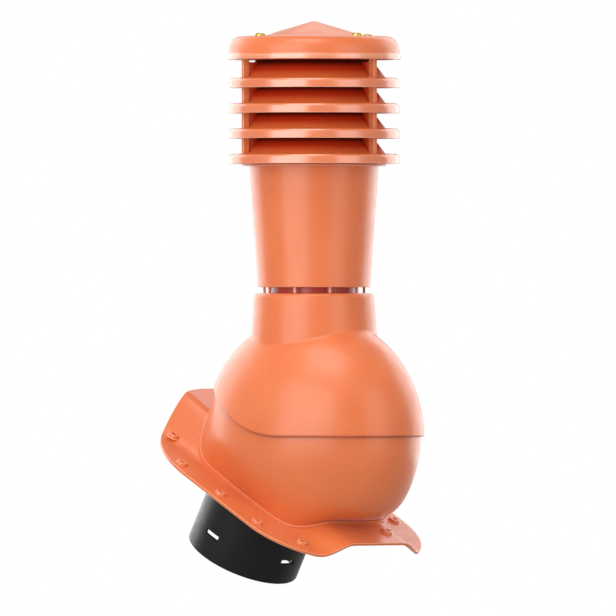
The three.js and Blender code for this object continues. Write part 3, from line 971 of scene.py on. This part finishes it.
class VENT_OT_hood(bpy.types.Operator):
    """Moulds the domed hood with the collar that holds the pipe"""

    bl_idname = "vent.hood"
    bl_label = "Hood"

    def execute(self, context):
        sections = [self.section(angle) for angle in around(SWEEP_STEPS)]
        piece = object_from(loft(sections), "hood_moulding")
        finish_piece(piece, terracotta_satin(), ["hood"])
        # Painted shade along the hood's lower edge, where the seam under it lies dark
        seam_shade = []
        for vert in piece.data.vertices:
            place = vert.co - PIVOT
            above_edge = place.z - self.edge_height(place.y)
            seam_shade.append(smoothstep(1 - above_edge / HOOD_EDGE_ROUND))
        store(piece.data, "hood_edge_shade", seam_shade)
        return {"FINISHED"}

    def reach(self, height, angle, wall):
        return shell_reach(math.sin(angle), math.cos(angle), height, wall)

    def edge_height(self, y):
        """Level downhill, then bending up to run with the roof."""
        pitch = sizes().roof_pitch
        if y < EDGE_BEND_START:
            return 0.0
        bend_end = EDGE_BEND_START + EDGE_BEND_RADIUS * math.sin(pitch)
        if y < bend_end:
            past_start = y - EDGE_BEND_START
            return EDGE_BEND_RADIUS - math.sqrt(EDGE_BEND_RADIUS**2 - past_start**2)
        return EDGE_BEND_RADIUS * (1 - math.cos(pitch)) + (y - bend_end) * math.tan(pitch)

    def collar_radius(self, height, wall):
        size = sizes()
        straight = size.collar_top - COLLAR_FOOT - COLLAR_ROUND
        share = clamped((height - COLLAR_FOOT) / straight)
        return mix(size.collar_foot_radius, size.collar_top_radius, share) - wall

    def dome_line(self, angle, wall, collar_wall, steps=36):
        """Dome from its lower edge up to the collar."""
        radius = sizes().hood_radius - wall
        low = solve(
            EDGE_LOWEST,
            COLLAR_FOOT,
            lambda z: z > self.edge_height(self.reach(z, angle, wall) * math.sin(angle)),
        )
        high = solve(
            low,
            radius,
            lambda z: self.reach(z, angle, wall) < self.collar_radius(z, collar_wall),
        )
        first, last = math.asin(low / radius), math.asin(high / radius)
        heights = [radius * math.sin(mix(first, last, i / steps)) for i in range(steps + 1)]
        return [(self.reach(z, angle, wall), z) for z in heights]

    def collar_line(self, foot, wall, top, steps=12):
        heights = [mix(foot, top, i / steps) for i in range(steps + 1)]
        return [(self.collar_radius(z, wall), z) for z in heights]

    def section(self, angle):
        size = sizes()
        outer = self.dome_line(angle, 0.0, 0.0)
        inner = self.dome_line(angle, size.hood_wall, size.wall)
        ledge = size.collar_top - size.wall
        collar = [outer[-1], *self.collar_line(outer[-1][1], 0.0, size.collar_top)[1:]]
        lining = [inner[-1], *self.collar_line(inner[-1][1], size.wall, ledge)[1:]]
        hole = SLEEVE_RADIUS + SLEEVE_PLAY
        line = eased([
            (outer, 30, COLLAR_CREASE),
            (collar, 10, COLLAR_ROUND),
            ([collar[-1], (hole, size.collar_top)], 3, EDGE_ROUND),
            ([(hole, size.collar_top), (hole, ledge)], 2, 0),
            ([(hole, ledge), lining[-1]], 3, 0),
            (lining[::-1], 8, 0),
            (inner[::-1], 24, CRISP_ROUND),
            ([inner[0], outer[0]], 2, HOOD_EDGE_ROUND),
        ])
        return [PIVOT + Vector(point) for point in swung(line, angle)]


def cone_underside(radius):
    drop = RING_WALL * math.hypot(1, CONE_SLOPE)
    return RIM_HEIGHT + (CONE_FOOT_RADIUS - radius) * CONE_SLOPE - drop


def cone_underside_radius(height):
    return CONE_FOOT_RADIUS - (height - cone_underside(CONE_FOOT_RADIUS)) / CONE_SLOPE


class VENT_OT_pipe(bpy.types.Operator):
    """Moulds the tapered pipe with its sleeve, lip and spacer pins"""

    bl_idname = "vent.pipe"
    bl_label = "Vent pipe"

    def execute(self, context):
        size = sizes()
        top, foot, wall = size.pipe_top_radius, size.pipe_foot_radius, size.wall
        seat = RING_BOTTOM + cone_underside(top) - FIT_GAP
        lip_foot = PIPE_TOP - PIPE_LIP_THICKNESS
        web_top = PIPE_FOOT + wall
        section = cornered([
            (top, seat, EDGE_ROUND),
            (top - wall, seat, EDGE_ROUND),
            (top - wall, lip_foot, 0),
            (foot - wall, web_top, WEB_ROUND),
            (SLEEVE_RADIUS - wall, web_top, SOFT_ROUND),
            (SLEEVE_RADIUS - wall, SLEEVE_FOOT, EDGE_ROUND),
            (SLEEVE_RADIUS, SLEEVE_FOOT, EDGE_ROUND),
            (SLEEVE_RADIUS, PIPE_FOOT, EDGE_ROUND),
            (foot, PIPE_FOOT, FOOT_ROUND),
            (top, lip_foot, NECK_ROUND),
            (PIPE_LIP_RADIUS, lip_foot, CRISP_ROUND),
            (PIPE_LIP_RADIUS, PIPE_TOP, CRISP_ROUND),
            (top, PIPE_TOP, LIP_ROUND),
        ])
        shape = turned(section)
        inner, outer = PIN_RADIUS - PIN_WIDTH / 2, PIN_RADIUS + PIN_WIDTH / 2
        low, high = size.collar_top + FIT_GAP, PIPE_FOOT + wall / 2
        for angle in around(PIN_COUNT, PIN_TURN):
            pin = radial_block(inner, outer, PIN_WIDTH, low, high, angle, PIN_EDGE)
            add_shape(shape, pin)
        shape.transform(Matrix.Translation(PIVOT))
        piece = object_from(shape, "pipe_moulding")
        finish_piece(piece, terracotta_pipe(), ["vent_pipe"])
        return {"FINISHED"}


class VENT_OT_louvre_rings(bpy.types.Operator):
    """Moulds the flared louvre rings with their posts"""

    bl_idname = "vent.louvre_rings"
    bl_label = "Louvre rings"

    def execute(self, context):
        for number in range(1, RING_COUNT + 1):
            shape = self.ring()
            height = RING_BOTTOM + (RING_COUNT - number) * sizes().ring_pitch
            shape.transform(Matrix.Translation(PIVOT + Vector((0, 0, height))))
            piece = object_from(shape, f"ring_moulding_{number}")
            finish_piece(piece, terracotta_louvre(), [f"louvre_ring_{number}"])
            make_glossy(piece, lambda centre: centre.xy.length > LOUVRE_GLOSS_RADIUS)
        return {"FINISHED"}

    def ring(self):
        radius, pitch = sizes().ring_radius, sizes().ring_pitch
        cone_top = RIM_HEIGHT + (CONE_FOOT_RADIUS - CONE_TOP_RADIUS) * CONE_SLOPE
        inner_rim = radius - RING_WALL
        section = cornered([
            (radius, 0, RIM_EDGE_ROUND),
            (radius, RIM_HEIGHT, RIM_ROUND),
            (CONE_FOOT_RADIUS, RIM_HEIGHT, FOOT_ROUND),
            (CONE_TOP_RADIUS, cone_top, RIM_EDGE_ROUND),
            (cone_underside_radius(cone_top), cone_top, CRISP_ROUND),
            (cone_underside_radius(PLATE_UNDERSIDE), PLATE_UNDERSIDE, FOOT_ROUND),
            (inner_rim, PLATE_UNDERSIDE, RIM_ROUND - RING_WALL),
            (inner_rim, 0, RIM_EDGE_ROUND),
        ])
        shape = turned(section)
        low, high = RIM_HEIGHT - RING_WALL / 2, pitch + PLATE_UNDERSIDE - FIT_GAP
        web_top = CONE_FOOT_RADIUS - (pitch - RIM_HEIGHT) / CONE_SLOPE
        web = [
            (CONE_FOOT_RADIUS - RING_WALL / 2, RIM_HEIGHT),
            (POST_RADIUS, RIM_HEIGHT),
            (POST_RADIUS, pitch),
            (web_top - RING_WALL / 2, pitch),
        ]
        for angle in around(POST_COUNT, POST_TURN):
            add_shape(shape, post_block(low, high, angle, SOFT_ROUND))
            plate = extruded(web, WEB_WIDTH)
            plate.transform(Matrix.Rotation(angle, 4, "Z"))
            add_shape(shape, plate)
        return shape


class VENT_OT_cap(bpy.types.Operator):
    """Moulds the domed cap with its low cone, legs and screw seats"""

    bl_idname = "vent.cap"
    bl_label = "Cap"

    def execute(self, context):
        size = sizes()
        lip = CAP_BOTTOM - CAP_LIP_DROP
        outline = self.outline(0.0) + [(size.cap_radius - EDGE_ROUND, lip)]
        outline += [(size.cap_radius - CAP_WALL + EDGE_ROUND, lip)] + self.outline(CAP_WALL)[::-1]
        piece = object_from(turned_solid(outline), "cap_moulding")
        seat = CAP_SHOULDER - SCREW_SEAT_DEPTH
        tip = seat - SCREW_LENGTH
        leg_low = RING_BOTTOM + RING_COUNT * size.ring_pitch + PLATE_UNDERSIDE
        leg_high = CAP_SHOULDER - CAP_LEG_ROOT
        supports, seats, holes = [], [], []
        for angle in around(POST_COUNT, POST_TURN):
            supports.append(post_block(leg_low, leg_high, angle, 0))
        for angle in around(SCREW_COUNT, SCREW_TURN):
            turn = Matrix.Rotation(angle, 4, "Z")
            place = turn @ Matrix.Translation((SCREW_RING_RADIUS, 0, 0))
            for bars, radius, low, high in (
                (supports, SCREW_BOSS_RADIUS, tip - CAP_WALL, seat),
                (seats, size.screw_head_radius + FIT_GAP, seat, CAP_APEX),
                (holes, SCREW_SHANK_RADIUS + FIT_GAP, tip - FIT_GAP, CAP_APEX),
            ):
                bars.append(bar(radius, low, high, place, SCREW_TURNS))
        combine(piece, supports, "UNION")
        combine(piece, seats, "DIFFERENCE")
        combine(piece, holes, "DIFFERENCE")
        piece.data.transform(Matrix.Translation(PIVOT))
        finish_piece(piece, terracotta_satin(), ["cap"])
        make_glossy(piece, lambda centre: centre.z < CAP_RIM_START)
        return {"FINISHED"}

    def outline(self, drop):
        """Half section from the apex to the rim's lower edge."""
        radius, flat, apex = sizes().cap_radius - drop, CAP_SHOULDER - drop, CAP_APEX - drop
        rim = radius - CAP_RIM_FLARE
        tip_foot = (CAP_TIP_RADIUS, apex - CAP_TIP_FALL)
        tip = curve((0.0, apex - CAP_TIP_BLUNT), (CAP_TIP_BEND, apex), tip_foot, 3)
        cone_foot = (CAP_CONE_RADIUS, CAP_CONE_FOOT - drop)
        sweep_bend = ((CAP_CONE_RADIUS + CAP_FLAT_START) / 2, flat)
        sweep = curve(cone_foot, sweep_bend, (CAP_FLAT_START, flat), 8)
        shoulder = curve((CAP_FLAT_END, flat), (rim, flat), (rim, CAP_RIM_START), 12)
        band_top = (radius - CAP_STEP_SET, CAP_RIM_START - CAP_STEP_HEIGHT)
        step = curve(shoulder[-1], (rim, band_top[1] + CAP_STEP_BEND), band_top, 3)[1:]
        return tip + sweep + shoulder + step + [(radius, CAP_BOTTOM + EDGE_ROUND)]


class VENT_OT_cap_screws(bpy.types.Operator):
    """Turns the plated screws in the cap's shoulder"""

    bl_idname = "vent.cap_screws"
    bl_label = "Cap screws"

    def execute(self, context):
        seat = CAP_SHOULDER - SCREW_SEAT_DEPTH
        for number, angle in enumerate(around(SCREW_COUNT, SCREW_TURN), 1):
            shape = turned_solid(self.outline(), SCREW_TURNS)
            piece = object_from(shape, f"screw_turning_{number}")
            combine(piece, [self.cross(angle)], "DIFFERENCE")
            x, y = SCREW_RING_RADIUS * math.cos(angle), SCREW_RING_RADIUS * math.sin(angle)
            piece.data.transform(Matrix.Translation(PIVOT + Vector((x, y, seat))))
            finish_piece(piece, plated_screw(), [f"cap_screw_{number}"])
        return {"FINISHED"}

    def outline(self):
        radius = sizes().screw_head_radius
        top = SCREW_HEAD_HEIGHT
        head = curve((radius, SCREW_HEAD_EDGE), (radius, top), (0, top), 8)
        return [
            (0, -SCREW_LENGTH),
            (SCREW_TIP_RADIUS, -SCREW_LENGTH),
            (SCREW_SHANK_RADIUS, SCREW_TIP_LENGTH - SCREW_LENGTH),
            (SCREW_SHANK_RADIUS, FIT_GAP),
            (radius - SCREW_BEVEL, FIT_GAP),
            (radius, FIT_GAP + SCREW_BEVEL),
            *head,
        ]

    def cross(self, angle):
        """A plus-shaped recess for the driver, turned differently on each screw."""
        reach, half = CROSS_REACH, CROSS_HALF_WIDTH
        low, high = SCREW_HEAD_HEIGHT - CROSS_DEPTH, SCREW_HEAD_HEIGHT + CROSS_CLEARANCE
        arm = [(reach, -half), (reach, half), (half, half)]
        outline = []
        for _ in range(4):
            outline += arm
            arm = [(-y, x) for x, y in arm]
        shape = extruded(outline, high - low)
        shape.transform(Matrix.Rotation(math.pi / 2, 4, "X"))
        shape.transform(Matrix.Translation((0, 0, (low + high) / 2)))
        shape.transform(Matrix.Rotation(CROSS_TURN_RATE * angle + CROSS_TURN_START, 4, "Z"))
        return shape


class VENT_OT_duct_spigot(bpy.types.Operator):
    """Moulds the black tube under the plate with its flange and slots"""

    bl_idname = "vent.duct_spigot"
    bl_label = "Duct spigot"

    def execute(self, context):
        size = sizes()
        radius, bore = size.spigot_radius, size.spigot_radius - size.wall
        low = FLOOR_TOP + FIT_GAP
        high = low + SPIGOT_FLANGE_THICKNESS
        section = cornered([
            (radius, SPIGOT_END, SOFT_ROUND),
            (radius, low, CRISP_ROUND),
            (radius + SPIGOT_FLANGE, low, CRISP_ROUND),
            (radius + SPIGOT_FLANGE, high, EDGE_ROUND),
            (bore, high, NECK_ROUND),
            (bore, SPIGOT_END, SOFT_ROUND),
        ])
        piece = object_from(turned(section), "spigot_tube")
        slot_length, slot_height = SLOT_SIZE
        slot_low = SPIGOT_END + SLOT_RISE - slot_height / 2
        slot_high = slot_low + slot_height
        inner, outer = bore - size.wall, radius + size.wall
        slots = [
            radial_block(inner, outer, slot_length, slot_low, slot_high, angle, SLOT_EDGE)
            for angle in around(SLOT_COUNT)
        ]
        combine(piece, slots, "DIFFERENCE")
        piece.data.transform(roof_frame(SPIGOT_DOWN, 0, 0))
        finish_piece(piece, charcoal_plastic(), ["duct_spigot"], "base")
        return {"FINISHED"}


# Stage


class VENT_OT_stage(bpy.types.Operator):
    """Sets the floor, the soft lights, the white surround and the camera"""

    bl_idname = "vent.stage"
    bl_label = "Stage"

    def execute(self, context):
        self.floor()
        self.surround(context)
        for softbox in SOFTBOXES:
            self.softbox(context, *softbox)
        self.camera(context)
        context.scene.view_settings.view_transform = "Standard"
        return {"FINISHED"}

    def floor(self):
        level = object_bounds()[0].z - FLOOR_DROP
        shape = bmesh.new()
        bmesh.ops.create_circle(shape, cap_ends=True, segments=FLOOR_SIDES, radius=FLOOR_RADIUS)
        shape.transform(Matrix.Translation((0, PIVOT.y, level)))
        disc = object_from(shape, "pale_floor")
        disc.data.materials.append(pale_floor())
        disc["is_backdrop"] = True

    def surround(self, context):
        """White behind the vent for the camera, and dimmer light from all round."""
        world = bpy.data.worlds.new("white_surround")
        world.use_nodes = True
        nodes, links = world.node_tree.nodes, world.node_tree.links
        seen, glow = nodes["Background"], nodes.new("ShaderNodeBackground")
        for background, strength in ((seen, 1.0), (glow, SURROUND_LIGHT)):
            background.inputs["Color"].default_value = (1, 1, 1, 1)
            background.inputs["Strength"].default_value = strength
        path = nodes.new("ShaderNodeLightPath")
        choice = nodes.new("ShaderNodeMixShader")
        links.new(path.outputs["Is Camera Ray"], choice.inputs["Fac"])
        links.new(glow.outputs["Background"], choice.inputs[1])
        links.new(seen.outputs["Background"], choice.inputs[2])
        links.new(choice.outputs["Shader"], nodes["World Output"].inputs["Surface"])
        context.scene.world = world

    def softbox(self, context, name, azimuth, elevation, width, height, radiance):
        """A soft panel that faces the vent; azimuth is counted from the camera's side."""
        light = bpy.data.lights.new(name, "AREA")
        light.shape = "RECTANGLE"
        light.size, light.size_y = width, height
        light.energy = radiance * math.pi * width * height
        panel = bpy.data.objects.new(name, light)
        centre = PIVOT + Vector((0, 0, SOFTBOX_AIM))
        turn = VIEW_AZIMUTH + math.radians(azimuth)
        towards = view_direction(turn, math.radians(elevation))
        panel.location = centre + towards * SOFTBOX_DISTANCE
        panel.rotation_euler = (-towards).to_track_quat("-Z", "Y").to_euler()
        panel.visible_camera = False
        context.scene.collection.objects.link(panel)

    def camera(self, context):
        data = bpy.data.cameras.new("photo_view")
        data.sensor_width = SENSOR
        data.lens = SENSOR * VIEW_DISTANCE / (VIEW_PIXELS * PIXEL_SIZE)
        data.clip_end = VIEW_CLIP
        camera = bpy.data.objects.new("photo_view", data)
        back = view_direction(VIEW_AZIMUTH, VIEW_ELEVATION)
        right = Vector((math.cos(VIEW_AZIMUTH), math.sin(VIEW_AZIMUTH), 0))
        up = back.cross(right)
        middle = VIEW_PIXELS / 2
        target = PIVOT + right * ((middle - PIVOT_PIXEL[0]) * PIXEL_SIZE)
        target += up * ((PIVOT_PIXEL[1] - middle) * PIXEL_SIZE)
        camera.location = target + back * VIEW_DISTANCE
        camera.rotation_euler = (-back).to_track_quat("-Z", "Y").to_euler()
        context.scene.collection.objects.link(camera)
        context.scene.camera = camera


def view_direction(azimuth, elevation):
    """From the vent towards a viewer; azimuth 0 is downhill of it."""
    flat = math.cos(elevation)
    return Vector((math.sin(azimuth) * flat, -math.cos(azimuth) * flat, math.sin(elevation)))


class VENT_PT_panel(bpy.types.Panel):
    """Lists the vent's pieces, sizes and colours"""

    bl_label = "Roof Vent"
    bl_idname = "VENT_PT_panel"
    bl_space_type = "VIEW_3D"
    bl_region_type = "UI"
    bl_category = "Roof Vent"

    def draw(self, context):
        column = self.layout.column()
        for operator in OPERATORS:
            column.operator(operator.bl_idname)
        for group in (context.scene.vent_sizes, context.scene.vent_colours):
            for name in group.bl_rna.properties.keys():
                if name not in {"rna_type", "name"}:
                    column.prop(group, name)


OPERATORS = (
    VENT_OT_flashing_base,
    VENT_OT_duct_spigot,
    VENT_OT_hood,
    VENT_OT_pipe,
    VENT_OT_louvre_rings,
    VENT_OT_cap,
    VENT_OT_cap_screws,
    VENT_OT_stage,
)
CLASSES = (VentSizes, VentColours, *OPERATORS, VENT_PT_panel)


def register():
    for item in CLASSES:
        bpy.utils.register_class(item)
    bpy.types.Scene.vent_sizes = PointerProperty(type=VentSizes)
    bpy.types.Scene.vent_colours = PointerProperty(type=VentColours)


def unregister():
    del bpy.types.Scene.vent_colours
    del bpy.types.Scene.vent_sizes
    for item in reversed(CLASSES):
        bpy.utils.unregister_class(item)


def main():
    register()
    bpy.ops.vent.flashing_base()
    bpy.ops.vent.duct_spigot()
    bpy.ops.vent.hood()
    bpy.ops.vent.pipe()
    bpy.ops.vent.louvre_rings()
    bpy.ops.vent.cap()
    bpy.ops.vent.cap_screws()
    bpy.ops.vent.stage()


if __name__ == "__main__":
    main()
